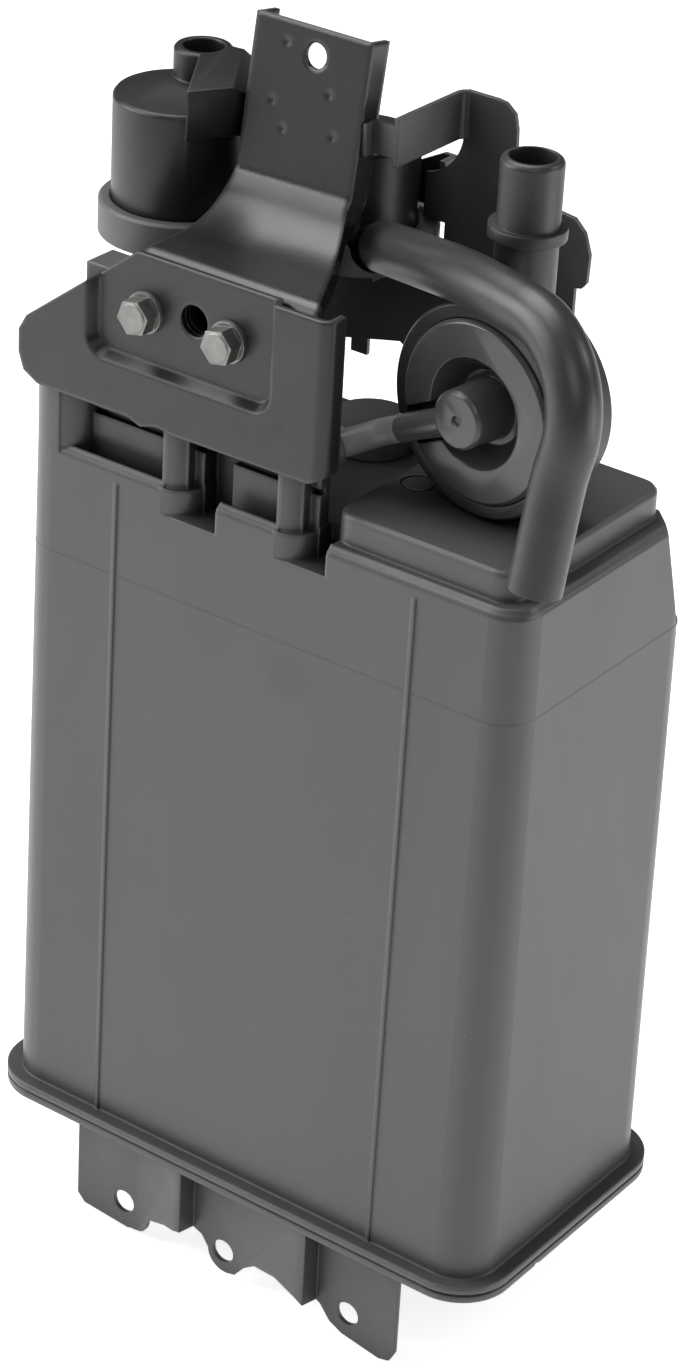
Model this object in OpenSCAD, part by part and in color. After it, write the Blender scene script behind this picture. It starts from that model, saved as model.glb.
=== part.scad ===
// Charcoal canister for fuel vapour, with its bracket, valves and hoses. Millimetres, front at -Y, up is +Z.

/* [Body] */
// Width at the flange
body_w = 190; // [150:1:230]
// Depth at the flange
body_d = 101.7; // [80:0.1:130]
// Height of the front wall's top edge
body_h = 240; // [220:1:280]
// Corner radius at the flange
corner_r = 13.5; // [11:0.5:20]
// Draft of every wall, mm for each mm of height
draft = 0.0113; // [0:0.0001:0.015]
// Wall thickness
wall = 2.6; // [2:0.1:3.5]
// How far the flange stands out
flange_out = 5; // [3:0.5:8]
// Thickness of each of the two welded flanges
flange_t = 2.7; // [2:0.1:4]
// Where the partition between the two chambers stands
partition_x = 20; // [0:1:40]

/* [Top] */
// Height of the raised pad
pad_h = 9.5; // [6:0.5:12]
// Distance between the two posts
post_pitch = 43; // [40:0.5:46]
// Radius of a post's round side
post_r = 9.6; // [7:0.1:11]
// Depth of the notches in the front wall
notch_h = 10; // [6:0.5:14]
// How far the tower stands above the front wall's top edge
tower_h = 61; // [59:1:62]

/* [Steel brackets] */
// Sheet thickness of the front plate and the arm
sheet = 2; // [1.6:0.1:2.5]
// Sheet thickness of the lower bracket and the carrier
thin_sheet = 1.6; // [1.2:0.1:2]
// How far the plate's middle field is set back
field_depth = 4; // [3:0.1:4]
// Distance between the two bolts
bolt_pitch = 31; // [28:0.5:34]
// Hole radius in the lower bracket
foot_hole_r = 4.2; // [3:0.1:5]
// Distance between the lower bracket's outer holes
foot_pitch = 93; // [86:0.5:100]
// Radius of the hole in the arm's strip
arm_hole_r = 3.9; // [3:0.1:5]

/* [Valves and hoses] */
// Radius of the vent valve's case
can_r = 21.2; // [18:0.1:22]
// Radius of both cup rings
ring_r = 25; // [24:0.1:26]
// Radius of the filter can
filter_r = 18; // [15:0.1:18.5]
// Radius of the two-way valve's rim
drum_r = 32.7; // [30:0.1:33]
// Outside radius of the upright port
port_r = 9.3; // [8:0.1:10]
// Outside radius of the elbow hose
hose_r = 8; // [7:0.1:8.5]
// Bore radius of the elbow hose
hose_bore_r = 5.6; // [4.5:0.1:6]
// Outside radius of the purge hose
purge_r = 4.1; // [3.5:0.1:4.5]

/* [Hidden] */
$fn = 64;
seat = 0.01;
step_low = body_h - 32;
step_high = step_low + 14;
bed_top = step_low - 12;
back_high = 40.3;
round_r = 2.6;
rib_top = body_h - 6;
seam_z = step_low - 5;
tower_top = body_h + tower_h;
plate_y = -body_d / 2 - 1.15;
plate_low = body_h + 20;
plate_high = plate_low + 51.5;
field_y = plate_y + field_depth;
field_slope = 0.55;
foot_y = field_y + sheet;
tower_y = foot_y + sheet;
bolt_x = -46;
bolt_z = plate_low + 33.5;
hole_x = -28;
hole_z = plate_low + 36;
arm_left = -50.5;
arm_right = -8.3;
shelf_z = plate_high;
bend_r = 32;
bend_y = -27;
bend_turn = 55;
lean = 9;
strip_len = 47;
flange_deep = 9;
crease = [bend_y + bend_r * sin(bend_turn), shelf_z + bend_r * (1 - cos(bend_turn))];
vent_at = [-78, 7.5];
cup_low = body_h + 54;
can_low = cup_low + 2;
can_top = can_low + 42.5;
block_top = can_top + 9.5;
filter_at = [-26, 29.6];
filter_low = body_h + 56.5;
filter_top = filter_low + 36.5;
carrier_y = 42;
valve_at = [54, -20, body_h + 43];
valve_turn = -8;
pipe_turn = 207;
port_at = [55.3, -2.5];
port_top = body_h + 117;
hose_path = [[-3.9, 12, body_h + 68], [52.8, -27, body_h + 86.9], [109.6, -46, body_h + 87.4],
  [101.2, -49, body_h + 48.8], [100, -55, body_h + 15.1]];
hose_bends = [100, 27, 50];
pipe_way = [cos(pipe_turn) * cos(valve_turn), cos(pipe_turn) * sin(valve_turn), sin(pipe_turn)];
pipe_out = 4.7;
pipe_end = valve_at + pipe_out * [sin(valve_turn), -cos(valve_turn), 0] + 27 * pipe_way;
purge_path = [pipe_end, pipe_end + 9 * pipe_way, [14.6, -32.1, body_h + 24.2]];
foot_y0 = -47;
cap_at = [-8, 17];

function half_w(z) = body_w / 2 - draft * z;
function half_d(z) = body_d / 2 - draft * z;
function corner_at(z) = corner_r - draft * z;
function unit(v) = v / norm(v);
function turn_of(x, y, z) = [atan2(y[2], z[2]), asin(-x[2]), atan2(x[1], x[0])];
function bend_angle(a, b, c) = acos(unit(a - b) * unit(c - b));
function cut_back(a, b, c, r) = r / tan(bend_angle(a, b, c) / 2);

module taper_box(hw, yf, yb, r, h, k) {
  translate([0, yb - r, 0])
    rotate([90, 0, 0])
      linear_extrude(yb - yf - 2 * r)
        polygon([[-hw, 0], [hw, 0], [hw - k * h, h], [-hw + k * h, h]]);
  translate([r - hw, 0, 0])
    rotate([90, 0, 90])
      linear_extrude(2 * (hw - r))
        polygon([[yf, 0], [yb, 0], [yb - k * h, h], [yf + k * h, h]]);
  for (sx = [-1, 1])
    for (sy = [-1, 1])
      translate([sx * (hw - r), sy > 0 ? yb - r : yf + r, 0.03])
        rotate([0, 0, sx > 0 ? (sy > 0 ? 225 : 135) : (sy > 0 ? 315 : 45)])
          cylinder(h = h - 0.06, r1 = r - 0.02, r2 = r - 0.02 - k * h);
}

module round_sheet(hw, hd, r) {
  square([2 * hw, 2 * (hd - r)], center = true);
  square([2 * (hw - r), 2 * hd], center = true);
  for (sx = [-1, 1])
    for (sy = [-1, 1])
      translate([sx * (hw - r), sy * (hd - r)])
        circle(r);
}

module along_x(x0, x1) {
  translate([x0, 0, 0])
    rotate([90, 0, 90])
      linear_extrude(x1 - x0)
        children();
}

module along_y(y0, y1) {
  translate([0, y1, 0])
    rotate([90, 0, 0])
      linear_extrude(y1 - y0)
        children();
}

module box(a, b) {
  translate(a)
    cube(b - a);
}

module tube_piece(from, to, r_out, r_in) {
  d = to - from;
  translate(from)
    rotate([0, acos(d[2] / norm(d)), atan2(d[1], d[0])])
      difference() {
        cylinder(h = norm(d), r = r_out);
        translate([0, 0, -1])
          cylinder(h = norm(d) + 2, r = r_in);
      }
}

module rod(from, to, r) {
  d = to - from;
  translate(from)
    rotate([0, acos(d[2] / norm(d)), atan2(d[1], d[0])])
      cylinder(h = norm(d), r = r);
}

module tube_bend(a, b, c, bend, r_out, r_in) {
  ang = bend_angle(a, b, c);
  ctr = b + unit(unit(a - b) + unit(c - b)) * bend / sin(ang / 2);
  ax = unit(b + unit(a - b) * cut_back(a, b, c, bend) - ctr);
  az = unit(cross(ax, unit(b - a)));
  ay = cross(az, ax);
  translate(ctr)
    rotate(turn_of(ax, ay, az))
      rotate_extrude(angle = 180 - ang)
        translate([bend, 0])
          difference() {
            circle(r_out);
            circle(r_in);
          }
}

module tube_run(path, bends, r_out, r_in) {
  last = len(path) - 1;
  for (i = [1:last]) {
    back_off = i == 1 ? 0 : cut_back(path[i - 2], path[i - 1], path[i], bends[i - 2]);
    fore_off = i == last ? 0 : cut_back(path[i - 1], path[i], path[i + 1], bends[i - 1]);
    way = unit(path[i] - path[i - 1]);
    tube_piece(path[i - 1] + way * (i == 1 ? 0 : back_off - 0.5), path[i] - way * (i == last ? 0 : fore_off - 0.5),
      r_out, r_in);
  }
  for (i = [1:last - 1])
    tube_bend(path[i - 1], path[i], path[i + 1], bends[i - 1], r_out + 0.02, r_in - 0.02);
}

module coil(r, wire, height, turns) {
  steps = turns * 16;
  sides = 6;
  rise = (height - wire) / steps;
  points = [
    for (i = [0:steps])
      for (j = [0:sides - 1])
        let(a = i * 22.5, b = j * 360 / sides, q = r + wire / 2 * cos(b))
          [q * cos(a), q * sin(a), wire / 2 + i * rise + wire / 2 * sin(b)]
  ];
  skin = [
    for (i = [0:steps - 1])
      for (j = [0:sides - 1])
        let(k = (j + 1) % sides)
          [i * sides + j, i * sides + k, (i + 1) * sides + k, (i + 1) * sides + j]
  ];
  ends = [[for (j = [sides - 1:-1:0]) j], [for (j = [0:sides - 1]) steps * sides + j]];
  polyhedron(points, concat(skin, ends), convexity = 4);
}

module body_outside() {
  z1 = body_h - round_r;
  low = flange_t;
  top_y = back_high - draft * (body_h - step_high);
  difference() {
    union() {
      translate([0, 0, low])
        taper_box(half_w(low), -half_d(low), half_d(low), corner_at(low), z1 - low, draft);
      translate([0, 0, z1 - 0.4])
        taper_box(half_w(z1) - 0.05, 0.05 - half_d(z1), half_d(z1) - 0.05, corner_at(z1) - 0.05,
          0.5 * round_r + 0.4, 0.3);
      translate([0, 0, z1 + 0.5 * round_r - 0.4])
        taper_box(half_w(z1) - 0.66, 0.66 - half_d(z1), half_d(z1) - 0.66, corner_at(z1) - 0.66,
          0.5 * round_r + 0.4, 0.8);
    }
    along_x(-120, 120)
      polygon([[half_d(step_low) + 0.5, step_low - 0.6], [back_high, step_high], [top_y, body_h - 2],
        [top_y - 2.2, body_h + 0.4], [90, body_h + 0.4], [90, step_low - 0.6]]);
    for (m = [0, 1])
      mirror([m, 0, 0])
        translate([half_w(body_h) - 2.6, back_high - 2.6, step_high])
          rotate([0, -12, 45])
            box([0, -40, -40], [40, 40, 50]);
  }
}

module body_space() {
  z1 = step_low - 3;
  translate([0, 0, flange_t - 1])
    taper_box(half_w(flange_t - 1) - wall, wall - half_d(flange_t - 1), half_d(flange_t - 1) - wall,
      corner_at(0) - wall, z1 - flange_t + 1, draft);
  translate([0, 0, z1 - 1])
    taper_box(half_w(body_h) - wall, wall - half_d(body_h), back_high - 3 - wall, 8, body_h - 13 - z1, 0);
  box([partition_x + wall + 2, wall - half_d(body_h) + 3, body_h - 15], [half_w(body_h) - wall - 4, back_high - 9, body_h - 3]);
  box([pad_left() + 4, -39, body_h - 4], [82, 33, body_h + pad_h - 3]);
}

function pad_left() = 21.5;

module pad() {
  translate([53.75, 0, body_h - 1])
    taper_box(32.25, -43.5, 37.5, 7, pad_h - 0.2, 0.01);
  translate([53.75, 0, body_h + pad_h - 1.2])
    taper_box(32.15, -43.4, 37.4, 6.9, 1.2, 0.8);
}

module post_plan(r) {
  translate([0, r])
    intersection() {
      circle(r);
      translate([-1.2, -r])
        square([r + 1.2, r]);
    }
  translate([-1.2, 0])
    square([2, r]);
}

module post(x) {
  translate([x, -half_d(body_h), body_h - notch_h])
    linear_extrude(notch_h - 1.5)
      post_plan(post_r);
  translate([x, 1.6 - half_d(body_h), body_h - notch_h])
    linear_extrude(plate_low + 4 - body_h + notch_h) {
      post_plan(post_r - 3.4);
      translate([-1.2, 3])
        square([post_r - 2.2, post_r - 2]);
    }
}

module corner_post() {
  r = corner_at(body_h);
  hw = half_w(body_h);
  hd = half_d(body_h);
  translate([0, 0, body_h - 4])
    linear_extrude(plate_low + 16 - body_h + 4) {
      translate([r - hw, r - hd])
        circle(r);
      translate([-hw, r - hd])
        square([14, 8]);
      translate([r - hw, -hd])
        square([14 - r, r + 8]);
    }
}

module tower() {
  box([-80, -40, body_h - 9], [16, -35.5, plate_low + 3]);
  box([-72, tower_y, plate_low + 2], [12, -32, tower_top]);
  box([-72, -36, body_h - 2], [12, -32, plate_low + 3]);
  for (x = [-60, -20])
    along_x(x, x + 3)
      polygon([[-33, body_h - 1], [-12, body_h - 1], [-33, body_h + 45]]);
}

module canister_body() {
  color([0.13, 0.135, 0.135])
    difference() {
      union() {
        difference() {
          body_outside();
          box([-78, 2.6 - half_d(body_h), body_h - 9], [24, -40, body_h + 2]);
          for (i = [0, 1]) {
            box([-38 + i * post_pitch, -60, body_h - notch_h], [-17.5 + i * 41, -40, body_h + 2]);
            box([-28 + i * post_pitch, -41, body_h - notch_h], [-17.5 + i * 41, -34, body_h + 2]);
          }
        }
        translate([0, 0, seam_z - 0.4])
          taper_box(half_w(seam_z) + 0.16, -half_d(seam_z) - 0.16, half_d(seam_z) + 0.16, corner_at(seam_z) + 0.16,
            0.8, 0.15);
        translate([0, 0, flange_t + 0.5])
          linear_extrude(flange_t - 0.5)
            round_sheet(body_w / 2 + flange_out, body_d / 2 + flange_out, corner_r + flange_out);
        translate([0, 0, flange_t])
          linear_extrude(1)
            round_sheet(body_w / 2 + flange_out - 0.6, body_d / 2 + flange_out - 0.6, corner_r + flange_out - 0.6);
        for (x = [-55.5, 55.5])
          along_x(x - 0.7, x + 0.7)
            polygon([[-half_d(5) - 0.55, 5], [-half_d(rib_top) - 0.55, rib_top], [-half_d(rib_top) + 1, rib_top + 0.8],
              [-half_d(5) + 1, 5]]);
        pad();
        for (i = [0, 1])
          post(-38 + i * post_pitch);
        corner_post();
        difference() {
          tower();
          for (i = [0, 1])
            box([-28.4 + i * post_pitch, -41, body_h - notch_h - 1], [-17.5 + i * 41, -34, plate_low + 1]);
          box([-79, -41, body_h + 10.4], [17, -37.8, body_h + 12.6]);
        }
        translate([vent_at[0], vent_at[1], body_h - 4])
          cylinder(h = cup_low - body_h + 4, r = 14);
        translate([cap_at[0], cap_at[1], body_h - 2])
          cylinder(h = 8, r = 11.5);
        rod(purge_path[2] + unit(purge_path[2] - purge_path[1]) * 9.6,
          purge_path[2] + unit(purge_path[2] - purge_path[1]) * 0.05, 5.4);
      }
      difference() {
        body_space();
        box([partition_x, -60, 14], [partition_x + wall, 60, body_h + 20]);
        for (x = [-66, -36, -6, 40, 62])
          box([x, -60, step_low - 4], [x + 2, 60, body_h + 20]);
      }
      translate([vent_at[0], vent_at[1], body_h - 20])
        cylinder(h = 80, r = 9);
      translate([cap_at[0], cap_at[1], body_h - 20])
        cylinder(h = 30, r = 8);
      for (x = [32, 52])
        translate([x, 28, body_h + pad_h - 2.6])
          cylinder(h = 10, r = 2.3);
      translate([30, -12, body_h + pad_h])
        difference() {
          cylinder(h = 1.4, r = 5.6, center = true);
          cylinder(h = 3, r = 4.6, center = true);
        }
      for (i = [0, 1])
        translate([bolt_x + i * bolt_pitch, tower_y - 1, bolt_z])
          rotate([-90, 0, 0])
            cylinder(h = 11, r = 4.5);
      translate([hole_x, tower_y - 1, hole_z])
        rotate([-90, 0, 0])
          cylinder(h = 9, r = 5);
    }
}

module bottom_cover() {
  color([0.13, 0.135, 0.135]) {
    difference() {
      union() {
        linear_extrude(flange_t - 0.5)
          round_sheet(body_w / 2 + flange_out, body_d / 2 + flange_out, corner_r + flange_out);
        translate([0, 0, flange_t - 1])
          linear_extrude(1)
            round_sheet(body_w / 2 + flange_out - 0.6, body_d / 2 + flange_out - 0.6, corner_r + flange_out - 0.6);
      }
      for (x = [-56, -20, 20, 56])
        translate([x, -32, -1])
          cylinder(h = 5, r = 2.2);
      box([-130, -21.2, -1], [130, -19.2, 0.5]);
    }
    for (x = [-62, -16, 57])
      translate([x, 0, flange_t - 0.5])
        difference() {
          cylinder(h = 3.5, r = 12.4);
          cylinder(h = 4, r = 10.8);
        }
  }
}

module foot_outline() {
  difference() {
    union() {
      translate([-66, -33])
        square([26, 33]);
      polygon([[-66, -30], [-66, -36], [-63, -39], [-44, -40.5], [-38, -38], [-33, -31], [-25, -27.5],
        [-18, -26], [-13, -28], [-8, -35], [-4, -38.5], [1, -38], [5, -33], [10, -29], [20, -27],
        [30, -28.5], [36, -32], [40, -37], [45, -39.5], [60, -42], [64, -41], [66, -37], [66, 0], [-66, 0]]);
      translate([-42, -32.5])
        circle(7.5);
      translate([-3, -31.5])
        circle(7.2);
      translate([59, -34.5])
        circle(7);
    }
    for (x = [-foot_pitch / 2 + 0.5, -4, foot_pitch / 2 + 0.5])
      translate([x, -30.6])
        circle(foot_hole_r);
  }
}

module foot_plan(t) {
  y = foot_y0;
  polygon([[-66, y], [-40, y], [-20, y - 6.5], [-17.6, y - 6.5], [-16.6, y], [4, y], [30, y - 6.5],
    [33.4, y - 6.5], [34.4, y], [66, y], [66, y + t], [32.8, y + t], [31.8, y - 6.5 + t], [30.2, y - 6.5 + t],
    [4.2, y + t], [-18.2, y + t], [-19.2, y - 6.5 + t], [-19.8, y - 6.5 + t], [-39.8, y + t], [-66, y + t]]);
}

module lower_bracket() {
  color([0.1, 0.1, 0.105])
    difference() {
      union() {
        intersection() {
          translate([0, 0, -45])
            linear_extrude(45)
              foot_plan(thin_sheet);
          along_y(-70, -30)
            foot_outline();
        }
        translate([0, 0, -thin_sheet])
          linear_extrude(thin_sheet)
            polygon([[-66, foot_y0 + 0.5], [66, foot_y0 + 0.5], [66, -26], [62, -22], [-62, -22], [-66, -26]]);
      }
      for (x = [-56, -20, 20, 56])
        translate([x, -32, -5])
          cylinder(h = 10, r = 2.2);
    }
}

module bracket_rivets() {
  color([0.55, 0.56, 0.57])
    for (x = [-56, -20, 20, 56])
      translate([x, -32, -thin_sheet]) {
        translate([0, 0, -1.6])
          cylinder(h = 1.6, r1 = 3, r2 = 4);
        cylinder(h = thin_sheet + flange_t, r = 1.9);
        translate([0, 0, thin_sheet + flange_t])
          cylinder(h = 1.2, r = 3.4);
      }
}

module plate_outline() {
  polygon([[-84, plate_low], [-49, plate_low + 0.2], [-44, plate_low - 1.6], [-38, plate_low + 0.3],
    [-32, plate_low - 0.6], [18, plate_low], [24, plate_low + 3], [24, plate_high], [-50, plate_high],
    [-88.5, plate_low + 21.2], [-91.5, plate_low + 16], [-91.5, plate_low + 8.5], [-89.5, plate_low + 3]]);
}

module plate_plan() {
  translate([-95, plate_y])
    square([95 + 19.4, sheet]);
  translate([19.4, plate_y + 4])
    difference() {
      circle(4);
      circle(4 - sheet);
      translate([-5, -5])
        square([5, 10]);
      translate([-5, 0])
        square([10, 5]);
    }
  translate([23.4 - sheet, plate_y + 4])
    square([sheet, 4]);
}

module field_form(grow, y0, y1) {
  out = grow * sqrt(1 + field_slope * field_slope) + (field_y - y0) * field_slope;
  translate([-31.15, y0, 0])
    rotate([-90, 0, 0])
      taper_box(32.35 + out, -plate_high - 40, -plate_low - 18 + out, 5 + out, y1 - y0, field_slope);
}

module front_plate() {
  color([0.1, 0.1, 0.1])
    difference() {
      union() {
        intersection() {
          translate([0, 0, plate_low - 10])
            linear_extrude(80)
              plate_plan();
          along_y(plate_y - 20, plate_y + 20)
            plate_outline();
        }
        intersection() {
          field_form(sheet, plate_y + 1, foot_y);
          along_y(plate_y - 20, plate_y + 20)
            plate_outline();
        }
      }
      field_form(0, plate_y - 1, field_y);
      for (i = [0, 1])
        translate([bolt_x + i * bolt_pitch, field_y - 1, bolt_z])
          rotate([-90, 0, 0])
            cylinder(h = 8, r = 3.3);
      translate([hole_x, field_y - 1, hole_z])
        rotate([-90, 0, 0])
          cylinder(h = 8, r = 5);
    }
}

module arm_profile(t) {
  translate([foot_y + 5, shelf_z - t])
    square([bend_y - foot_y - 5, t]);
  translate([bend_y, shelf_z + bend_r])
    intersection() {
      difference() {
        circle(bend_r + t);
        circle(bend_r);
      }
      polygon([[0, 0], [0, -90], [90, -90], [90 * sin(bend_turn), -90 * cos(bend_turn)]]);
    }
  translate(crease)
    intersection() {
      circle(t);
      polygon([[0, 0], [30 * sin(bend_turn - 4), -30 * cos(bend_turn - 4)], [40, -20],
        [30 * cos(lean - 4), -30 * sin(lean - 4)]]);
    }
  translate(crease)
    rotate(-lean)
      square([t, strip_len]);
}

module foot_profile() {
  translate([foot_y, plate_low + 8])
    square([sheet, shelf_z - 13 - plate_low]);
  translate([foot_y + 5, shelf_z - 5])
    intersection() {
      difference() {
        circle(5);
        circle(5 - sheet);
      }
      translate([-5, 0])
        square([5, 5]);
    }
}

module arm_plan(inset) {
  polygon([[arm_left + inset, foot_y - 1], [15 - inset, foot_y - 1], [2.8 - inset, -24], [-3.8 - inset, -10.6],
    [arm_right - inset, crease[0] - 1], [arm_right - inset, 30], [arm_left + inset, 30]]);
}

module support_arm() {
  color([0.08, 0.08, 0.085])
    difference() {
      union() {
        intersection() {
          along_x(-60, 30) {
            foot_profile();
            arm_profile(sheet);
          }
          translate([0, 0, plate_low - 10])
            linear_extrude(150)
              arm_plan(0);
        }
        intersection() {
          along_x(-60, 30)
            arm_profile(flange_deep);
          translate([0, 0, plate_low - 10])
            linear_extrude(150)
              difference() {
                arm_plan(0);
                arm_plan(sheet);
              }
        }
      }
      for (i = [0, 1])
        translate([bolt_x + i * bolt_pitch, foot_y - 1, bolt_z])
          rotate([-90, 0, 0])
            cylinder(h = 8, r = 3.3);
      translate([hole_x, foot_y - 1, hole_z])
        rotate([-90, 0, 0])
          cylinder(h = 8, r = 5);
      translate([-27.5, -20, shelf_z + 55.9])
        rotate([-90 - lean, 0, 0])
          cylinder(h = 60, r = arm_hole_r);
    }
}

module plate_bolts() {
  color([0.72, 0.73, 0.74])
    for (i = [0, 1])
      translate([bolt_x + i * bolt_pitch, field_y, bolt_z])
        rotate([90, 0, 0]) {
          cylinder(h = 1.4, r1 = 6.7, r2 = 6.4);
          translate([0, 0, 1.4])
            rotate([0, 0, 12])
              cylinder(h = 5, r = 5.77, $fn = 6);
          translate([0, 0, 6.4])
            cylinder(h = 0.5, r1 = 4.8, r2 = 4.3);
          translate([0, 0, -13.5])
            cylinder(h = 13.5, r = 2.7);
        }
}

module bolt_inserts() {
  color([0.72, 0.6, 0.3])
    for (i = [0, 1])
      translate([bolt_x + i * bolt_pitch, tower_y, bolt_z])
        rotate([-90, 0, 0])
          difference() {
            cylinder(h = 10, r = 4.2);
            translate([0, 0, -1])
              cylinder(h = 12, r = 3);
          }
}

module vent_block() {
  turn = atan2(-23.8, 15.2);
  intersection() {
    translate([0, 0, can_top - 6])
      linear_extrude(20)
        polygon([[-7.6, 19.9], [12.8, 23.3], [26.3, 2.1], [26.3, -3.4], [16.5, -19.2]]);
    translate([7.4, 19.8, 0])
      rotate([0, 0, turn])
        rotate([90, 0, 90])
          translate([0, 0, -15])
            linear_extrude(60)
              polygon([[-14, can_top - 6], [6.4, can_top - 6], [6.4, block_top - 4], [0, block_top], [-14, block_top]]);
  }
}

module vent_case() {
  color([0.1, 0.105, 0.105])
    translate([vent_at[0], vent_at[1], 0])
      difference() {
        union() {
          translate([0, 0, can_low])
            cylinder(h = can_top - can_low - 1, r = can_r);
          translate([0, 0, can_top - 1])
            cylinder(h = 1, r1 = can_r, r2 = can_r - 0.8);
          vent_block();
          box([3, 14, can_low + 16], [17, 33, can_low + 28]);
          translate([-5, 16.2, can_low + 12])
            cylinder(h = block_top - can_low - 12.8, r = 9.2);
          translate([-5, 16.2, block_top - 0.8])
            cylinder(h = 0.8, r1 = 9.2, r2 = 8.5);
          translate([0, 0, can_low - 14])
            cylinder(h = 16, r = 8.7);
        }
        translate([0, 0, can_low + 2])
          cylinder(h = can_top - can_low - 5, r = 15.4);
        translate([0, 0, can_low - 20])
          cylinder(h = 24, r = 6);
        translate([-5, 16.2, block_top - 11])
          cylinder(h = 20, r = 6.6);
        translate([-5, 16.2, can_top - 7])
          cylinder(h = 12, r = 3);
        box([5, 22, can_low + 18], [15, 40, can_low + 26]);
      }
}

module vent_ring() {
  color([0.34, 0.34, 0.34])
    translate([vent_at[0], vent_at[1], cup_low])
      difference() {
        union() {
          cylinder(h = 10.2, r = ring_r);
          translate([0, 0, 10.2])
            cylinder(h = 0.8, r1 = ring_r, r2 = ring_r - 0.8);
        }
        translate([0, 0, can_low - cup_low])
          cylinder(h = 20, r = can_r + 0.3);
        translate([0, 0, -1])
          cylinder(h = 5, r = 9.2);
      }
}

module vent_coil() {
  color([0.6, 0.35, 0.2])
    translate([vent_at[0], vent_at[1], can_low + 4])
      difference() {
        cylinder(h = 30, r = 15);
        translate([0, 0, -1])
          cylinder(h = 32, r = 5.4);
      }
}

module vent_plunger() {
  color([0.6, 0.6, 0.62])
    translate([vent_at[0], vent_at[1], can_low - 4]) {
      cylinder(h = 34, r = 5);
      translate([0, 0, 6])
        cylinder(h = 1.6, r = 8);
    }
}

module filter_can() {
  way = unit(hose_path[0] - hose_path[1]);
  end = hose_path[0] + way * 13;
  color([0.09, 0.095, 0.095])
    difference() {
      union() {
        translate([filter_at[0], filter_at[1], filter_low + 2])
          cylinder(h = filter_top - filter_low - 3, r = filter_r);
        translate([filter_at[0], filter_at[1], filter_top - 1])
          cylinder(h = 1, r1 = filter_r, r2 = filter_r - 0.8);
        rod(end, hose_path[0] - way * 12, hose_bore_r - 0.3);
      }
      translate([filter_at[0], filter_at[1], filter_low + 4])
        cylinder(h = filter_top - filter_low - 6, r = filter_r - 2);
      rod(end + way, hose_path[0] - way * 20, 4);
    }
}

module filter_ring() {
  way = unit(hose_path[1] - hose_path[0]);
  color([0.34, 0.34, 0.34])
    difference() {
      union() {
        translate([filter_at[0], filter_at[1], filter_low])
          cylinder(h = 8.8, r = ring_r);
        translate([filter_at[0], filter_at[1], filter_low + 8.8])
          cylinder(h = 0.8, r1 = ring_r, r2 = ring_r - 0.8);
      }
      translate([filter_at[0], filter_at[1], filter_low + 2])
        cylinder(h = 20, r = filter_r + 0.3);
      translate([filter_at[0], filter_at[1], filter_low - 1])
        cylinder(h = 20, r = 10);
      translate(hose_path[0] - way * 14)
        rotate([0, acos(way[2]), atan2(way[1], way[0])])
          cylinder(h = 60, r = hose_r + 0.7);
    }
}

module filter_element() {
  color([0.75, 0.74, 0.68])
    translate([filter_at[0], filter_at[1], filter_low + 4])
      difference() {
        cylinder(h = filter_top - filter_low - 6, r = filter_r - 5.4);
        translate([0, 0, -1])
          cylinder(h = 60, r = 7);
      }
}

module carrier_outline() {
  difference() {
    translate([0, body_h])
      polygon([[-54, 21], [-42, 17.5], [-16.5, 23.5], [-13, 21], [-11, 12], [24, 11], [60, 11], [60, 22], [45, 28],
        [45, 59.5], [47.5, 60], [49, 62], [49.3, 71], [47, 77.5], [43, 81.2], [36, 82], [21.5, 82],
        [20.6, 103], [19.5, 107.5], [16, 110.2], [13, 110.6], [2, 110.6], [2, 95.5], [-5, 95.5], [-42, 56],
        [-54, 56]]);
    translate([-14, body_h + 97])
      circle(16);
    translate([-60, filter_low])
      square([57.2, 10.4]);
    translate([-60, filter_low])
      square([49.2, 60]);
  }
  translate([-35, body_h + 15])
    square([6.2, 10]);
}

module carrier_wing() {
  y = filter_at[1] + filter_r + 0.7;
  z = filter_low + 11.5;
  along_y(y, y + thin_sheet)
    polygon([[-24, z], [-4.6, z], [-4.6, z + 18], [-9, z + 18], [-24, z + 10]]);
  box([-6.2, carrier_y + 0.4, z], [-4.6, y + thin_sheet, z + 18]);
}

module carrier_bracket() {
  low = body_h + 95.5;
  high = body_h + 110.6;
  color([0.07, 0.07, 0.075])
    difference() {
      union() {
        along_y(carrier_y, carrier_y + thin_sheet)
          carrier_outline();
        carrier_wing();
        box([0, arm_hold(), low], [thin_sheet, carrier_y - 3, high]);
        translate([0, 0, low])
          linear_extrude(high - low)
            translate([4, carrier_y + thin_sheet - 4])
              difference() {
                circle(4);
                circle(4 - thin_sheet);
                translate([0, -5])
                  square([5, 10]);
                translate([-5, -5])
                  square([10, 5]);
              }
        box([0, carrier_y - 4, low], [thin_sheet, carrier_y - 2.4, high]);
        box([arm_right, arm_hold(), low + 2.5], [1, arm_hold() + thin_sheet, high - 2.6]);
        box([arm_right, 3.5, low + 2.5], [arm_right + thin_sheet, arm_hold() + 1, high - 2.6]);
        box([-44, 13, filter_low - thin_sheet], [-8, carrier_y + 1, filter_low]);
        box([25, 18, body_h + pad_h], [59, carrier_y + 1, body_h + pad_h + thin_sheet]);
      }
      for (x = [32, 52])
        translate([x, 28, body_h])
          cylinder(h = 30, r = 2.2);
    }
}

function arm_hold() = 8;

module carrier_screws() {
  color([0.6, 0.61, 0.62])
    for (x = [32, 52])
      translate([x, 28, body_h + pad_h + thin_sheet]) {
        cylinder(h = 2.6, r = 4);
        translate([0, 0, -thin_sheet - 2.4])
          cylinder(h = 5, r = 1.9);
      }
}

module at_valve() {
  translate(valve_at)
    rotate([0, 0, valve_turn])
      rotate([90, 0, 0])
        children();
}

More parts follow.
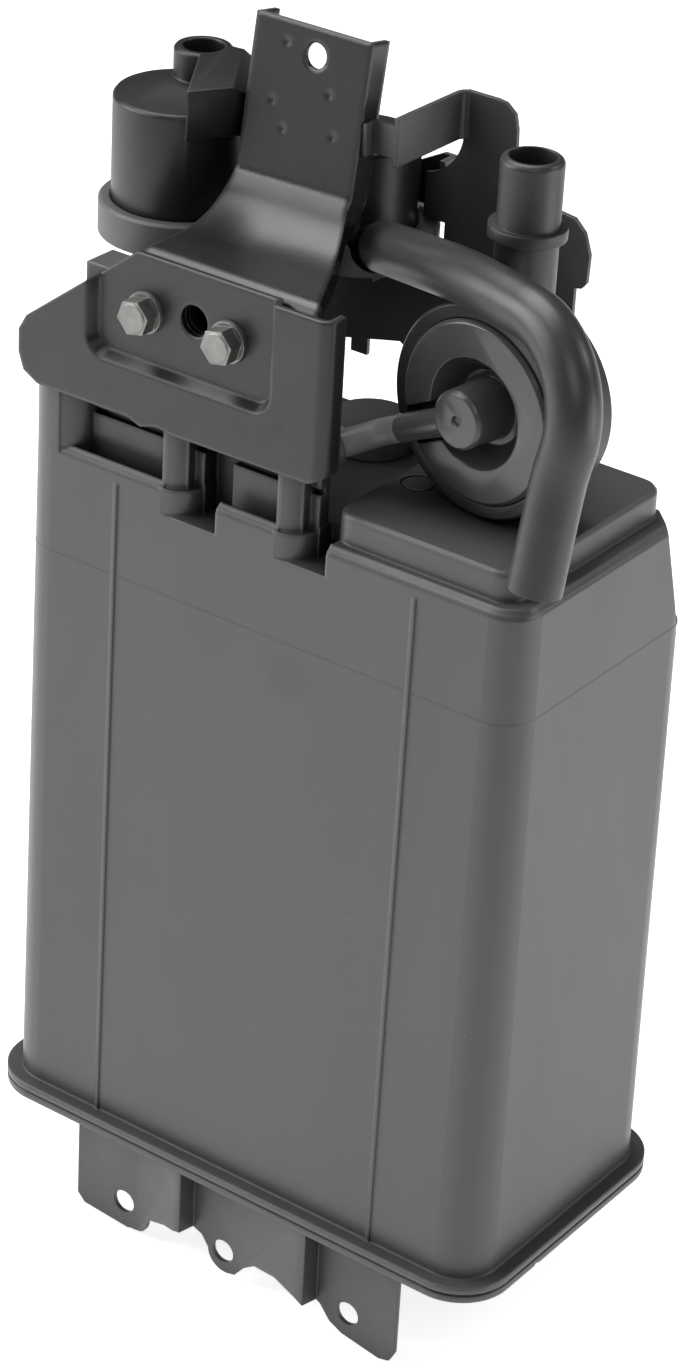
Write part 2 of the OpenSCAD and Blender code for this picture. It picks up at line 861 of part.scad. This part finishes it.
module valve_drum() {
  color([0.11, 0.11, 0.115])
    difference() {
      union() {
        at_valve() {
          translate([0, 0, -6])
            cylinder(h = 5.2, r = drum_r);
          translate([0, 0, -0.8])
            cylinder(h = 0.8, r1 = drum_r, r2 = drum_r - 0.8);
          translate([0, 0, -24])
            cylinder(h = 19, r = 30.4);
          translate([0, 0, -28])
            cylinder(h = 4.5, r1 = 26, r2 = 30.4);
        }
        box([44, -12, body_h + pad_h], [68, 6, body_h + 22]);
        translate([port_at[0], port_at[1], port_top - 57])
          cylinder(h = 55, r = port_r);
        translate([port_at[0], port_at[1], port_top - 2])
          rotate_extrude()
            intersection() {
              union() {
                square([port_r - 2, 2]);
                translate([port_r - 2, 0])
                  circle(2);
              }
              square([20, 4]);
            }
        translate([port_at[0], port_at[1], port_top - 24])
          cylinder(h = 3.6, r = 11.6);
      }
      at_valve() {
        translate([0, 0, -12.8])
          cylinder(h = 20, r = 28.3);
        translate([0, 0, -26])
          cylinder(h = 20, r = 24.5);
      }
      translate([port_at[0], port_at[1], port_top - 61])
        cylinder(h = 80, r = 7);
    }
}

module valve_cap() {
  color([0.12, 0.12, 0.125])
    at_valve()
      difference() {
        union() {
          difference() {
            rotate_extrude()
              polygon([[0, -11.4], [28, -11.4], [28, 0.4], [26.9, 1.5], [17, 1.5], [11.5, -6], [0, -6]]);
            rotate([0, 0, pipe_turn])
              box([5, -5.8, -5.6], [30, 5.8, 4]);
          }
          rotate_extrude()
            polygon([[0, -7], [9.4, -7], [9, 8.2], [8, 9.2], [0, 9.2]]);
          rotate([0, 0, pipe_turn])
            translate([0, 0, pipe_out])
              rotate([0, 90, 0])
                cylinder(h = 27, r = 4.3);
        }
        translate([0, 0, 8])
          cylinder(h = 3, r1 = 1, r2 = 2.4);
        rotate([0, 0, pipe_turn])
          translate([0, 0, pipe_out])
            rotate([0, 90, 0])
              cylinder(h = 40, r = 2.4);
      }
}

module valve_diaphragm() {
  color([0.05, 0.05, 0.05])
    at_valve()
      translate([0, 0, -12.8])
        cylinder(h = 1.4, r = 27.8);
}

module diaphragm_plate() {
  color([0.6, 0.6, 0.62])
    at_valve()
      translate([0, 0, -13.8])
        cylinder(h = 1, r = 15);
}

module valve_spring() {
  color([0.6, 0.6, 0.62])
    at_valve()
      translate([0, 0, -26])
        coil(10, 1.2, 12.2, 4);
}

module elbow_hose() {
  way = unit(hose_path[4] - hose_path[3]);
  color([0.09, 0.09, 0.09])
    difference() {
      tube_run(hose_path, hose_bends, hose_r, hose_bore_r);
      rod(hose_path[4] - way * 20, hose_path[4] + way * 5, hose_bore_r + 0.3);
    }
}

module purge_hose() {
  color([0.16, 0.16, 0.165])
    tube_run(purge_path, [9], purge_r, 2.4);
}

module round_cap() {
  color([0.14, 0.145, 0.145])
    translate([cap_at[0], cap_at[1], body_h + 0.3])
      difference() {
        union() {
          cylinder(h = 8.2, r = 13.5);
          translate([0, 0, 8.2])
            cylinder(h = 1, r1 = 13.5, r2 = 12.6);
        }
        translate([0, 0, -1])
          cylinder(h = 6.7, r = 11.8);
      }
}

module bed(z0, z1, second) {
  intersection() {
    translate([0, 0, z0 + seat])
      taper_box(half_w(z0) - wall - 0.4, wall + 0.4 - half_d(z0), half_d(z0) - wall - 0.4,
        corner_at(z0) - wall, z1 - z0 - seat, draft);
    box([second ? partition_x + wall + 0.4 : -100, -60, z0 - 1], [second ? 100 : partition_x - 0.4, 60, z1 + 1]);
  }
}

module main_carbon() {
  color([0.03, 0.03, 0.03])
    bed(31, bed_top, false);
}

module second_carbon() {
  color([0.03, 0.03, 0.03])
    bed(31, bed_top, true);
}

module main_top_filter() {
  color([0.8, 0.8, 0.75])
    bed(bed_top, bed_top + 8, false);
}

module second_top_filter() {
  color([0.8, 0.8, 0.75])
    bed(bed_top, bed_top + 8, true);
}

module main_low_filter() {
  color([0.8, 0.8, 0.75])
    bed(25, 31, false);
}

module second_low_filter() {
  color([0.8, 0.8, 0.75])
    bed(25, 31, true);
}

module grid(second, x0, x1) {
  difference() {
    bed(22, 25, second);
    for (x = [x0:16:x1])
      for (y = [-32:16:32])
        translate([x, y, 20])
          cylinder(h = 8, r = 3.5);
  }
}

module main_grid() {
  color([0.2, 0.2, 0.2])
    grid(false, -78, 8);
}

module second_grid() {
  color([0.2, 0.2, 0.2])
    grid(true, 33, 80);
}

module bed_springs() {
  color([0.6, 0.6, 0.62])
    for (x = [-62, -16, 57])
      translate([x, 0, flange_t])
        coil(14.4, 1.8, 22 - flange_t, 4);
}

canister_body();
bottom_cover();
lower_bracket();
bracket_rivets();
front_plate();
support_arm();
plate_bolts();
bolt_inserts();
vent_case();
vent_ring();
vent_coil();
vent_plunger();
filter_can();
filter_ring();
filter_element();
carrier_bracket();
carrier_screws();
valve_drum();
valve_cap();
valve_diaphragm();
diaphragm_plate();
valve_spring();
elbow_hose();
purge_hose();
round_cap();
main_carbon();
second_carbon();
main_top_filter();
second_top_filter();
main_low_filter();
second_low_filter();
main_grid();
second_grid();
bed_springs();
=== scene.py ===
import math

import bmesh
import bpy
from mathutils import Matrix, Vector


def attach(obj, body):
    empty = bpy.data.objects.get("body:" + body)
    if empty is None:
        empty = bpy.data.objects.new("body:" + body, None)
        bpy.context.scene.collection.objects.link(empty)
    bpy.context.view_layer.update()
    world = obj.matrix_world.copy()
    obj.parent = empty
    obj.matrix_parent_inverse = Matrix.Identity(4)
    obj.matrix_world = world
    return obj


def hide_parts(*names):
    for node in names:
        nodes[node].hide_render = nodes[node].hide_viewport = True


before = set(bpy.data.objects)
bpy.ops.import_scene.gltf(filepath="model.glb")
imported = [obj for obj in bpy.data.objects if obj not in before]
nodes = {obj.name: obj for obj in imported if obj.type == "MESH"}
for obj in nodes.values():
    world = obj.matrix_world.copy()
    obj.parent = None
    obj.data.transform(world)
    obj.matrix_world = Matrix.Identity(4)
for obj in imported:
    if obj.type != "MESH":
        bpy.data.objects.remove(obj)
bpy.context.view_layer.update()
scene = bpy.context.scene
scene.view_settings.view_transform = "Standard"
print("frame loaded:", len(nodes), "nodes")

# camera as the photo was taken, image 683 x 1361
cameraView = {
    "azimuth": 34.883, "elevation": 29.0, "roll": 3.227,
    "distance": 1.206766, "target": (-0.001388, -0.000968, 0.166391),
    "lens": 102.03, "sensor": 36.0, "farthest": 50,
}


def addCamera(view):
    azimuth, elevation, roll = (math.radians(view[k]) for k in ("azimuth", "elevation", "roll"))
    level = math.cos(elevation)
    back = Vector((math.sin(azimuth) * level, -math.cos(azimuth) * level, math.sin(elevation)))
    right = Vector((math.cos(azimuth), math.sin(azimuth), 0))
    up = back.cross(right)
    turnedRight = right * math.cos(roll) + up * math.sin(roll)
    turnedUp = up * math.cos(roll) - right * math.sin(roll)
    data = bpy.data.cameras.new("photoCamera")
    data.lens = view["lens"]
    data.sensor_width = view["sensor"]
    data.clip_end = view["farthest"]
    camera = bpy.data.objects.new("photoCamera", data)
    scene.collection.objects.link(camera)
    turn = Matrix((turnedRight, turnedUp, back)).transposed().to_4x4()
    camera.matrix_world = Matrix.Translation(Vector(view["target"]) + back * view["distance"]) @ turn
    scene.camera = camera


addCamera(cameraView)
print("camera placed")


# a value that is a socket is linked, any other value is set on the node's own socket
def setInputs(tree, node, inputs):
    for socket, value in inputs.items():
        if isinstance(value, bpy.types.NodeSocket):
            tree.links.new(value, node.inputs[socket])
        else:
            node.inputs[socket].default_value = value


def addNode(tree, kind, inputs, **settings):
    node = tree.nodes.new("ShaderNode" + kind)
    for setting, value in settings.items():
        setattr(node, setting, value)
    setInputs(tree, node, inputs)
    return node


# soft studio light, in metres and watts
lamps = {
    "leftFront": {"at": (-1.55, -0.90, 0.85), "to": (-0.02, 0, 0.14), "size": (1.0, 1.0), "watts": 21},
    "rightBack": {"at": (1.30, 0.45, 0.25), "to": (0.05, 0, 0.12), "size": (0.8, 0.6), "watts": 5},
    "backRight": {"at": (0.95, 0.85, 1.15), "to": (0.04, 0, 0.28), "size": (0.5, 0.5), "watts": 4},
    "above": {"at": (-0.40, 0.10, 1.34), "to": (-0.02, -0.02, 0.32), "size": (0.95, 0.80), "watts": 13},
    "aboveFront": {"at": (-0.62, -0.66, 1.02), "to": (-0.03, -0.03, 0.33), "size": (0.55, 0.55), "watts": 4},
    "rightFill": {"at": (0.75, -0.75, 1.15), "to": (0.03, 0, 0.25), "size": (0.7, 0.7), "watts": 3},
}
# dim world and a pale floor that glows a little where it is seen or mirrored
studio = {
    "world": (0.95, 0.97, 1.0), "worldStrength": 0.06,
    "floorZ": -0.0425, "floorSize": 40.0, "floorTone": (0.80, 0.80, 0.80),
    "floorRough": 0.9, "floorShine": 0.1, "floorGlow": 0.80,
    "glowsFor": ("Is Glossy Ray", "Is Transmission Ray"),
}


def addLamp(name, lamp):
    data = bpy.data.lights.new(name, "AREA")
    data.shape = "RECTANGLE"
    data.size, data.size_y = lamp["size"]
    data.energy = lamp["watts"]
    obj = bpy.data.objects.new(name, data)
    scene.collection.objects.link(obj)
    obj.location = lamp["at"]
    obj.rotation_euler = (Vector(lamp["to"]) - obj.location).to_track_quat("-Z", "Y").to_euler()


def addWorld(look):
    world = bpy.data.worlds.new("studioWorld")
    world.use_nodes = True
    tree = world.node_tree
    light = {"Color": (*look["world"], 1), "Strength": look["worldStrength"]}
    setInputs(tree, tree.nodes["Background"], light)
    scene.world = world


def addFloorPaper(look):
    mat = bpy.data.materials.new("floorPaper")
    mat.use_nodes = True
    tree = mat.node_tree
    paper = tree.nodes["Principled BSDF"]
    setInputs(tree, paper, {"Base Color": (*look["floorTone"], 1), "Roughness": look["floorRough"],
                            "Specular IOR Level": look["floorShine"]})
    path = addNode(tree, "LightPath", {})
    seen = path.outputs["Is Camera Ray"]
    for ray in look["glowsFor"]:
        seen = addNode(tree, "Math", {0: seen, 1: path.outputs[ray]}, operation="MAXIMUM").outputs[0]
    strength = addNode(tree, "Math", {0: seen, 1: look["floorGlow"]}, operation="MULTIPLY").outputs[0]
    glow = addNode(tree, "Emission", {"Strength": strength})
    both = addNode(tree, "AddShader", {0: paper.outputs["BSDF"], 1: glow.outputs["Emission"]})
    setInputs(tree, tree.nodes["Material Output"], {"Surface": both.outputs["Shader"]})
    return mat


def addFloor(look):
    bpy.ops.object.select_all(action="DESELECT")
    bpy.ops.mesh.primitive_plane_add(size=look["floorSize"], location=(0, 0, look["floorZ"]))
    floor = bpy.context.object
    floor.name = "studioFloor"
    floor.data.materials.append(addFloorPaper(look))


for name, lamp in lamps.items():
    addLamp(name, lamp)
addWorld(studio)
addFloor(studio)
print("studio lit")

# shallow marks that the press left in the arm's strip: a ball sunk into its face
pressMarks = {
    "ball": 0.0041, "depth": 0.00035, "around": 32, "rings": 48,
    "at": [(-0.0383, 0.0056, 0.3652), (-0.0408, 0.0027, 0.3473), (-0.0209, 0.0037, 0.3535),
           (-0.0358, 0.0015, 0.3399), (-0.0177, 0.0019, 0.3418)],
}
plateFolds = {"from": 50, "to": 72, "width": 0.0022, "steps": 4}  # degrees and metres
# pressed and moulded pieces with real rounded edges, made from a merged copy of the node
softened = [
    {"name": "softBody", "node": "canister_body", "slot": "body_plastic", "edge": 0.0012},
    {"name": "softCover", "node": "bottom_cover", "slot": "body_plastic", "edge": 0.0007},
    {"name": "softPlate", "node": "front_plate", "slot": "black_steel", "edge": 0.0006, "fold": plateFolds},
    {"name": "softArm", "node": "support_arm", "slot": "black_steel", "edge": 0.0007, "marks": pressMarks},
    {"name": "softFoot", "node": "lower_bracket", "slot": "black_steel", "edge": 0.0005},
    {"name": "softCarrier", "node": "carrier_bracket", "slot": "black_steel", "edge": 0.0004},
    {"name": "softVent", "node": "vent_case", "slot": "case_plastic", "edge": 0.0007, "even": False},
    {"name": "softDrum", "node": "valve_drum", "slot": "valve_plastic", "edge": 0.0005, "even": False},
    {"name": "softCap", "node": "valve_cap", "slot": "valve_plastic", "edge": 0.0006, "even": False},
]
# metres and degrees that all of them share
softening = {"merge": 0.000002, "flatTo": 0.6, "edgeSteps": 3, "sharpFrom": 32, "smoothTo": 38}
softPieces = {}


def foldAngle(edge):
    if len(edge.link_faces) != 2:
        return 0.0
    return math.degrees(edge.calc_face_angle(0.0))


def roundFolds(piece, fold):
    bpy.ops.mesh.select_all(action="DESELECT")
    mesh = bmesh.from_edit_mesh(piece.data)
    for edge in mesh.edges:
        edge.select = fold["from"] < foldAngle(edge) < fold["to"]
    bmesh.update_edit_mesh(piece.data)
    bpy.ops.mesh.bevel(offset=fold["width"], segments=fold["steps"], affect="EDGES", clamp_overlap=True)


def pressDimples(piece, marks):
    for at in marks["at"]:
        bpy.context.view_layer.update()
        spot, normal = piece.closest_point_on_mesh(Vector(at))[1:3]
        middle = spot + normal * (marks["ball"] - marks["depth"])
        turn = normal.to_track_quat("Z", "Y").to_euler()
        bpy.ops.mesh.primitive_uv_sphere_add(segments=marks["around"], ring_count=marks["rings"],
                                             radius=marks["ball"], location=middle, rotation=turn)
        ball = bpy.context.object
        cut = piece.modifiers.new("pressMark", "BOOLEAN")
        cut.operation = "DIFFERENCE"
        cut.solver = "FAST"
        cut.object = ball
        bpy.context.view_layer.objects.active = piece
        bpy.ops.object.modifier_apply(modifier=cut.name)
        bpy.data.objects.remove(ball, do_unlink=True)
    piece.select_set(True)


def softenNode(look):
    bpy.ops.object.select_all(action="DESELECT")
    piece = bpy.data.objects.new(look["name"], nodes[look["node"]].data.copy())
    scene.collection.objects.link(piece)
    piece.select_set(True)
    bpy.context.view_layer.objects.active = piece
    bpy.ops.object.mode_set(mode="EDIT")
    bpy.ops.mesh.select_mode(type="EDGE")
    bpy.ops.mesh.select_all(action="SELECT")
    bpy.ops.mesh.remove_doubles(threshold=softening["merge"])
    bpy.ops.mesh.dissolve_limited(angle_limit=math.radians(softening["flatTo"]))
    if "fold" in look:
        roundFolds(piece, look["fold"])
    bpy.ops.object.mode_set(mode="OBJECT")
    bevel = piece.modifiers.new("roundEdges", "BEVEL")
    bevel.width = look["edge"]
    bevel.segments = softening["edgeSteps"]
    bevel.limit_method = "ANGLE"
    bevel.angle_limit = math.radians(softening["sharpFrom"])
    bevel.use_clamp_overlap = True
    bpy.ops.object.modifier_apply(modifier=bevel.name)
    if "marks" in look:
        pressDimples(piece, look["marks"])
    bpy.ops.object.shade_smooth_by_angle(angle=math.radians(softening["smoothTo"]))
    if look.get("even", True):
        even = piece.modifiers.new("evenNormals", "WEIGHTED_NORMAL")
        even.keep_sharp = True
        bpy.ops.object.modifier_apply(modifier=even.name)
    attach(piece, "root")
    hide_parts(look["node"])
    softPieces[look["node"]] = piece
    print("softened", look["node"], len(piece.data.polygons))


for look in softened:
    softenNode(look)
print("softened pieces:", len(softPieces))

# what a finish has where its own dictionary doesn't say otherwise, lengths in metres
plainFinish = {
    "vary": 0.12, "mottle": 14, "smear": 30, "flow": None,
    "speck": None, "rim": None, "wear": None, "wearScale": 260, "smudges": (),
    # on the next line, the darkest share and the reach of the painted shade in corners and slits
    "edge": 0.0006, "cornerShadeDepth": 0.22, "cornerShadeReach": 0.022, "gloss": 0.5, "metal": 0.0,
    "grain": 0.1, "grainScale": 2600, "grainDepth": 0.00006,
    "wave": 0.08, "waveScale": 40, "waveDepth": 0.0008,
}
# each noise, with the span of its values that a ramp runs over
noises = {
    "mottle": {"detail": 4, "rough": 0.6, "span": (0.35, 0.68)},
    "smear": {"detail": 4, "rough": 0.65, "span": (0.3, 0.7)},
    "speck": {"detail": 2, "rough": 0.5, "span": (0.70, 0.78)},
    "wear": {"detail": 3, "rough": 0.6, "span": (0.42, 0.62)},
    "grain": {"detail": 2, "rough": 0.5},
    "wave": {"detail": 2, "rough": 0.5},
}
# rounded against true normal, 1 on a face and less at an edge
roundedEdge = {"samples": 8, "span": (0.80, 0.97)}
# how open a place is, 0 in a slit and 1 in the clear; it sets the painted shade in corners and slits
cornerShadeAO = {"samples": 6, "span": (0.12, 0.72)}
smudgeCore = 0.45  # share of a smudge's radius that has its full depth
black = (0, 0, 0)
white = (1, 1, 1)


def addNoise(tree, place, kind, scale, flow=None):
    if flow:
        place = addNode(tree, "Mapping", {"Scale": flow, "Vector": place}).outputs["Vector"]
    noise = noises[kind]
    inputs = {"Scale": scale, "Detail": noise["detail"], "Roughness": noise["rough"], "Vector": place}
    return addNode(tree, "TexNoise", inputs).outputs["Fac"]


def addRamp(tree, value, span, first, last):
    ramp = addNode(tree, "ValToRGB", {"Fac": value})
    for element, position, tone in zip(ramp.color_ramp.elements, span, (first, last)):
        element.position = position
        element.color = (*tone, 1)
    return ramp.outputs["Color"]


def addRange(tree, value, source, result, **settings):
    inputs = {"Value": value, "From Min": source[0], "From Max": source[1],
              "To Min": result[0], "To Max": result[1]}
    return addNode(tree, "MapRange", inputs, **settings).outputs["Result"]


def mixColor(tree, share, under, over, mode="MIX"):
    if isinstance(over, tuple):
        over = (*over, 1)
    inputs = {"Factor": share, "A": under, "B": over}
    return addNode(tree, "Mix", inputs, data_type="RGBA", blend_type=mode).outputs["Result"]


def addBump(tree, place, kind, look, normal):
    height = addNoise(tree, place, kind, look[kind + "Scale"])
    inputs = {"Strength": look[kind], "Distance": look[kind + "Depth"], "Height": height, "Normal": normal}
    return addNode(tree, "Bump", inputs).outputs["Normal"]


def addSmudge(tree, place, color, smudge):
    away = addNode(tree, "VectorMath", {0: place, 1: smudge["at"]}, operation="DISTANCE").outputs["Value"]
    source = (smudge["size"], smudge["size"] * smudgeCore)
    share = addRange(tree, away, source, (0.0, smudge["depth"]), interpolation_type="SMOOTHSTEP")
    return mixColor(tree, share, color, smudge["tone"])


# mottled tone with specks, painted highlights along edges, worn edges and smudges
def addColor(tree, place, rounded, look):
    dark = tuple(c * (1 - look["vary"]) for c in look["tone"])
    light = tuple(c * (1 + look["vary"]) for c in look["tone"])
    mottle = addNoise(tree, place, "mottle", look["mottle"], look["flow"])
    color = addRamp(tree, mottle, noises["mottle"]["span"], dark, light)
    if look["speck"]:
        speck = addNoise(tree, place, "speck", look["speckScale"])
        specks = addRamp(tree, speck, noises["speck"]["span"], black, white)
        color = mixColor(tree, specks, color, look["speck"])
    if look["rim"] or look["wear"]:
        face = addNode(tree, "NewGeometry", {}).outputs["Normal"]
        lean = addNode(tree, "VectorMath", {0: rounded, 1: face}, operation="DOT_PRODUCT").outputs["Value"]
        # edge mask, light at rounded edges: it carries both the painted edge highlight and the worn edges
        edges = addRamp(tree, lean, roundedEdge["span"], white, black)
    # painted highlight: rounded edges take a lighter colour
    if look["rim"]:
        color = mixColor(tree, edges, color, look["rim"])
    if look["wear"]:
        wear = addNoise(tree, place, "wear", look["wearScale"])
        broken = addRamp(tree, wear, noises["wear"]["span"], black, white)
        worn = mixColor(tree, 1.0, edges, broken, "MULTIPLY")
        color = mixColor(tree, worn, color, look["wear"])
    for smudge in look["smudges"]:
        color = addSmudge(tree, place, color, smudge)
    return color


def addFinish(name, own):
    look = {**plainFinish, **own}
    mat = bpy.data.materials.new(name)
    mat.use_nodes = True
    tree = mat.node_tree
    place = addNode(tree, "TexCoord", {}).outputs["Object"]
    bevel = addNode(tree, "Bevel", {"Radius": look["edge"]}, samples=roundedEdge["samples"])
    rounded = bevel.outputs["Normal"]
    color = addColor(tree, place, rounded, look)

    # painted shade: tone and shine darken in corners and slits
    cornerShadeProbe = addNode(tree, "AmbientOcclusion", {"Distance": look["cornerShadeReach"]}, samples=cornerShadeAO["samples"])
    paintedCornerShade = addRange(tree, cornerShadeProbe.outputs["AO"], cornerShadeAO["span"], (look["cornerShadeDepth"], 1.0))
    color = mixColor(tree, 1.0, color, paintedCornerShade, "MULTIPLY")
    shine = addNode(tree, "Math", {0: paintedCornerShade, 1: look["gloss"]}, operation="MULTIPLY").outputs[0]

    smear = addNoise(tree, place, "smear", look["smear"], look["flow"])
    rough = addRange(tree, smear, noises["smear"]["span"], look["rough"])
    grained = addBump(tree, place, "grain", look, rounded)
    waved = addBump(tree, place, "wave", look, grained)
    setInputs(tree, tree.nodes["Principled BSDF"], {
        "Base Color": color, "Specular IOR Level": shine, "Roughness": rough, "Normal": waved,
        "Metallic": look["metal"],
    })
    return mat


def finishPiece(piece, mat):
    if not piece.data.materials:
        piece.data.materials.append(mat)
    for i in range(len(piece.data.materials)):
        piece.data.materials[i] = mat


bodySmudges = [
    {"at": (0.013, -0.0487, 0.192), "size": 0.010, "tone": (0.060, 0.061, 0.059), "depth": 0.6},
]
plateSmudges = [
    {"at": (-0.0068, -0.052, 0.2699), "size": 0.0045, "tone": (0.006, 0.006, 0.006), "depth": 0.7},
    {"at": (0.0013, -0.052, 0.2699), "size": 0.0050, "tone": (0.006, 0.006, 0.006), "depth": 0.6},
    {"at": (0.0069, -0.052, 0.2736), "size": 0.0040, "tone": (0.006, 0.006, 0.006), "depth": 0.7},
]
# a finish's corner depth sets how dark the painted shade in its corners and slits is
finishes = {
    # a finish's lighter edge colour is a painted highlight along its rounded edges
    "mouldedBody": {
        "on": ["canister_body", "bottom_cover", "main_grid", "second_grid"],
        "tone": (0.080, 0.082, 0.078), "rough": (0.32, 0.43), "vary": 0.10, "mottle": 9, "flow": (1, 1, 0.25),
        "grain": 0.18, "grainScale": 2400, "edge": 0.0016, "rim": (0.15, 0.15, 0.145),
        "speck": (0.125, 0.125, 0.12), "speckScale": 700, "cornerShadeDepth": 0.10, "cornerShadeReach": 0.030,
        "smudges": bodySmudges,
    },
    "coatedPlate": {
        "on": ["front_plate"],
        "tone": (0.014, 0.015, 0.014), "rough": (0.28, 0.40), "vary": 0.18, "mottle": 22,
        "grain": 0.22, "grainScale": 1500, "edge": 0.0018, "rim": (0.075, 0.075, 0.072),
        "wave": 0.16, "waveScale": 16, "waveDepth": 0.004, "smudges": plateSmudges,
    },
    "coatedArm": {
        "on": ["support_arm"],
        "tone": (0.011, 0.012, 0.011), "rough": (0.24, 0.32), "vary": 0.18, "mottle": 20,
        "grain": 0.10, "grainScale": 1300, "edge": 0.0024, "rim": (0.055, 0.055, 0.053), "gloss": 0.6,
    },
    "coatedCarrier": {
        "on": ["carrier_bracket"],
        "tone": (0.075, 0.075, 0.076), "rough": (0.34, 0.46), "vary": 0.18, "mottle": 24,
        "grain": 0.2, "grainScale": 1500, "wear": (0.07, 0.07, 0.07),
    },
    "footCoat": {
        "on": ["lower_bracket"],
        "tone": (0.085, 0.086, 0.088), "rough": (0.34, 0.46), "vary": 0.16, "mottle": 26,
        "grain": 0.2, "grainScale": 1500, "wear": (0.14, 0.14, 0.135),
    },
    "zincBolt": {
        "on": ["plate_bolts", "bracket_rivets", "carrier_screws"],
        "tone": (0.240, 0.240, 0.230), "rough": (0.40, 0.55), "vary": 0.14, "mottle": 160, "metal": 0.9,
        "grain": 0.25, "grainScale": 1800, "edge": 0.0003, "wear": (0.55, 0.55, 0.53),
    },
    "canPlastic": {
        "on": ["vent_case", "filter_can"],
        "tone": (0.012, 0.013, 0.012), "rough": (0.32, 0.42), "vary": 0.14, "mottle": 20,
        "grain": 0.12, "grainScale": 2400, "edge": 0.0010, "rim": (0.09, 0.09, 0.087),
    },
    "roundCapPlastic": {
        "on": ["round_cap"],
        "tone": (0.220, 0.222, 0.215), "rough": (0.34, 0.46), "vary": 0.14, "mottle": 30,
        "grain": 0.14, "grainScale": 2400,
    },
    "cupRubber": {
        "on": ["vent_ring", "filter_ring"],
        "tone": (0.105, 0.105, 0.10), "rough": (0.42, 0.56), "vary": 0.14, "mottle": 40,
        "grain": 0.25, "grainScale": 1700,
    },
    "hoseRubber": {
        "on": ["elbow_hose", "valve_diaphragm"],
        "tone": (0.034, 0.034, 0.033), "rough": (0.32, 0.42), "vary": 0.18, "mottle": 26,
        "grain": 0.2, "grainScale": 1900, "edge": 0.0005, "speck": (0.06, 0.06, 0.06), "speckScale": 520,
    },
    "purgeRubber": {
        "on": ["purge_hose"],
        "tone": (0.240, 0.240, 0.232), "rough": (0.40, 0.52), "vary": 0.16, "mottle": 40,
        "grain": 0.2, "grainScale": 1900, "edge": 0.0004,
    },
    "drumPlastic": {
        "on": ["valve_drum"],
        "tone": (0.030, 0.031, 0.030), "rough": (0.34, 0.48), "vary": 0.16, "mottle": 22,
        "grain": 0.16, "grainScale": 2200,
    },
    "capPlastic": {
        "on": ["valve_cap"],
        "tone": (0.085, 0.086, 0.082), "rough": (0.20, 0.30), "vary": 0.14, "mottle": 24,
        "grain": 0.12, "grainScale": 2200, "cornerShadeDepth": 0.75,
    },
    "innerFoam": {
        "on": ["filter_element", "main_top_filter", "second_top_filter",
               "main_low_filter", "second_low_filter"],
        "tone": (0.50, 0.48, 0.40), "rough": (0.8, 0.95), "vary": 0.25, "mottle": 60,
        "grain": 0.6, "grainScale": 600, "edge": 0.0003,
    },
    "carbonGrains": {
        "on": ["main_carbon", "second_carbon"],
        "tone": (0.012, 0.012, 0.012), "rough": (0.6, 0.9), "vary": 0.5, "mottle": 500,
        "grain": 0.9, "grainScale": 420, "grainDepth": 0.0006, "edge": 0.0003,
    },
    "brightWire": {
        "on": ["valve_spring", "bed_springs", "diaphragm_plate", "vent_plunger"],
        "tone": (0.55, 0.55, 0.56), "rough": (0.22, 0.34), "metal": 1.0, "edge": 0.0002,
    },
    "brassInsert": {
        "on": ["bolt_inserts"],
        "tone": (0.62, 0.42, 0.16), "rough": (0.28, 0.4), "metal": 1.0, "grain": 0.2, "edge": 0.0002,
    },
    "copperWire": {
        "on": ["vent_coil"],
        "tone": (0.48, 0.20, 0.09), "rough": (0.25, 0.4), "metal": 0.9, "grain": 0.4, "edge": 0.0002,
        "flow": (1, 1, 20),
    },
}

for name, look in finishes.items():
    mat = addFinish(name, look)
    for node in look["on"]:
        finishPiece(softPieces.get(node, nodes[node]), mat)
print("finishes made:", len(finishes))
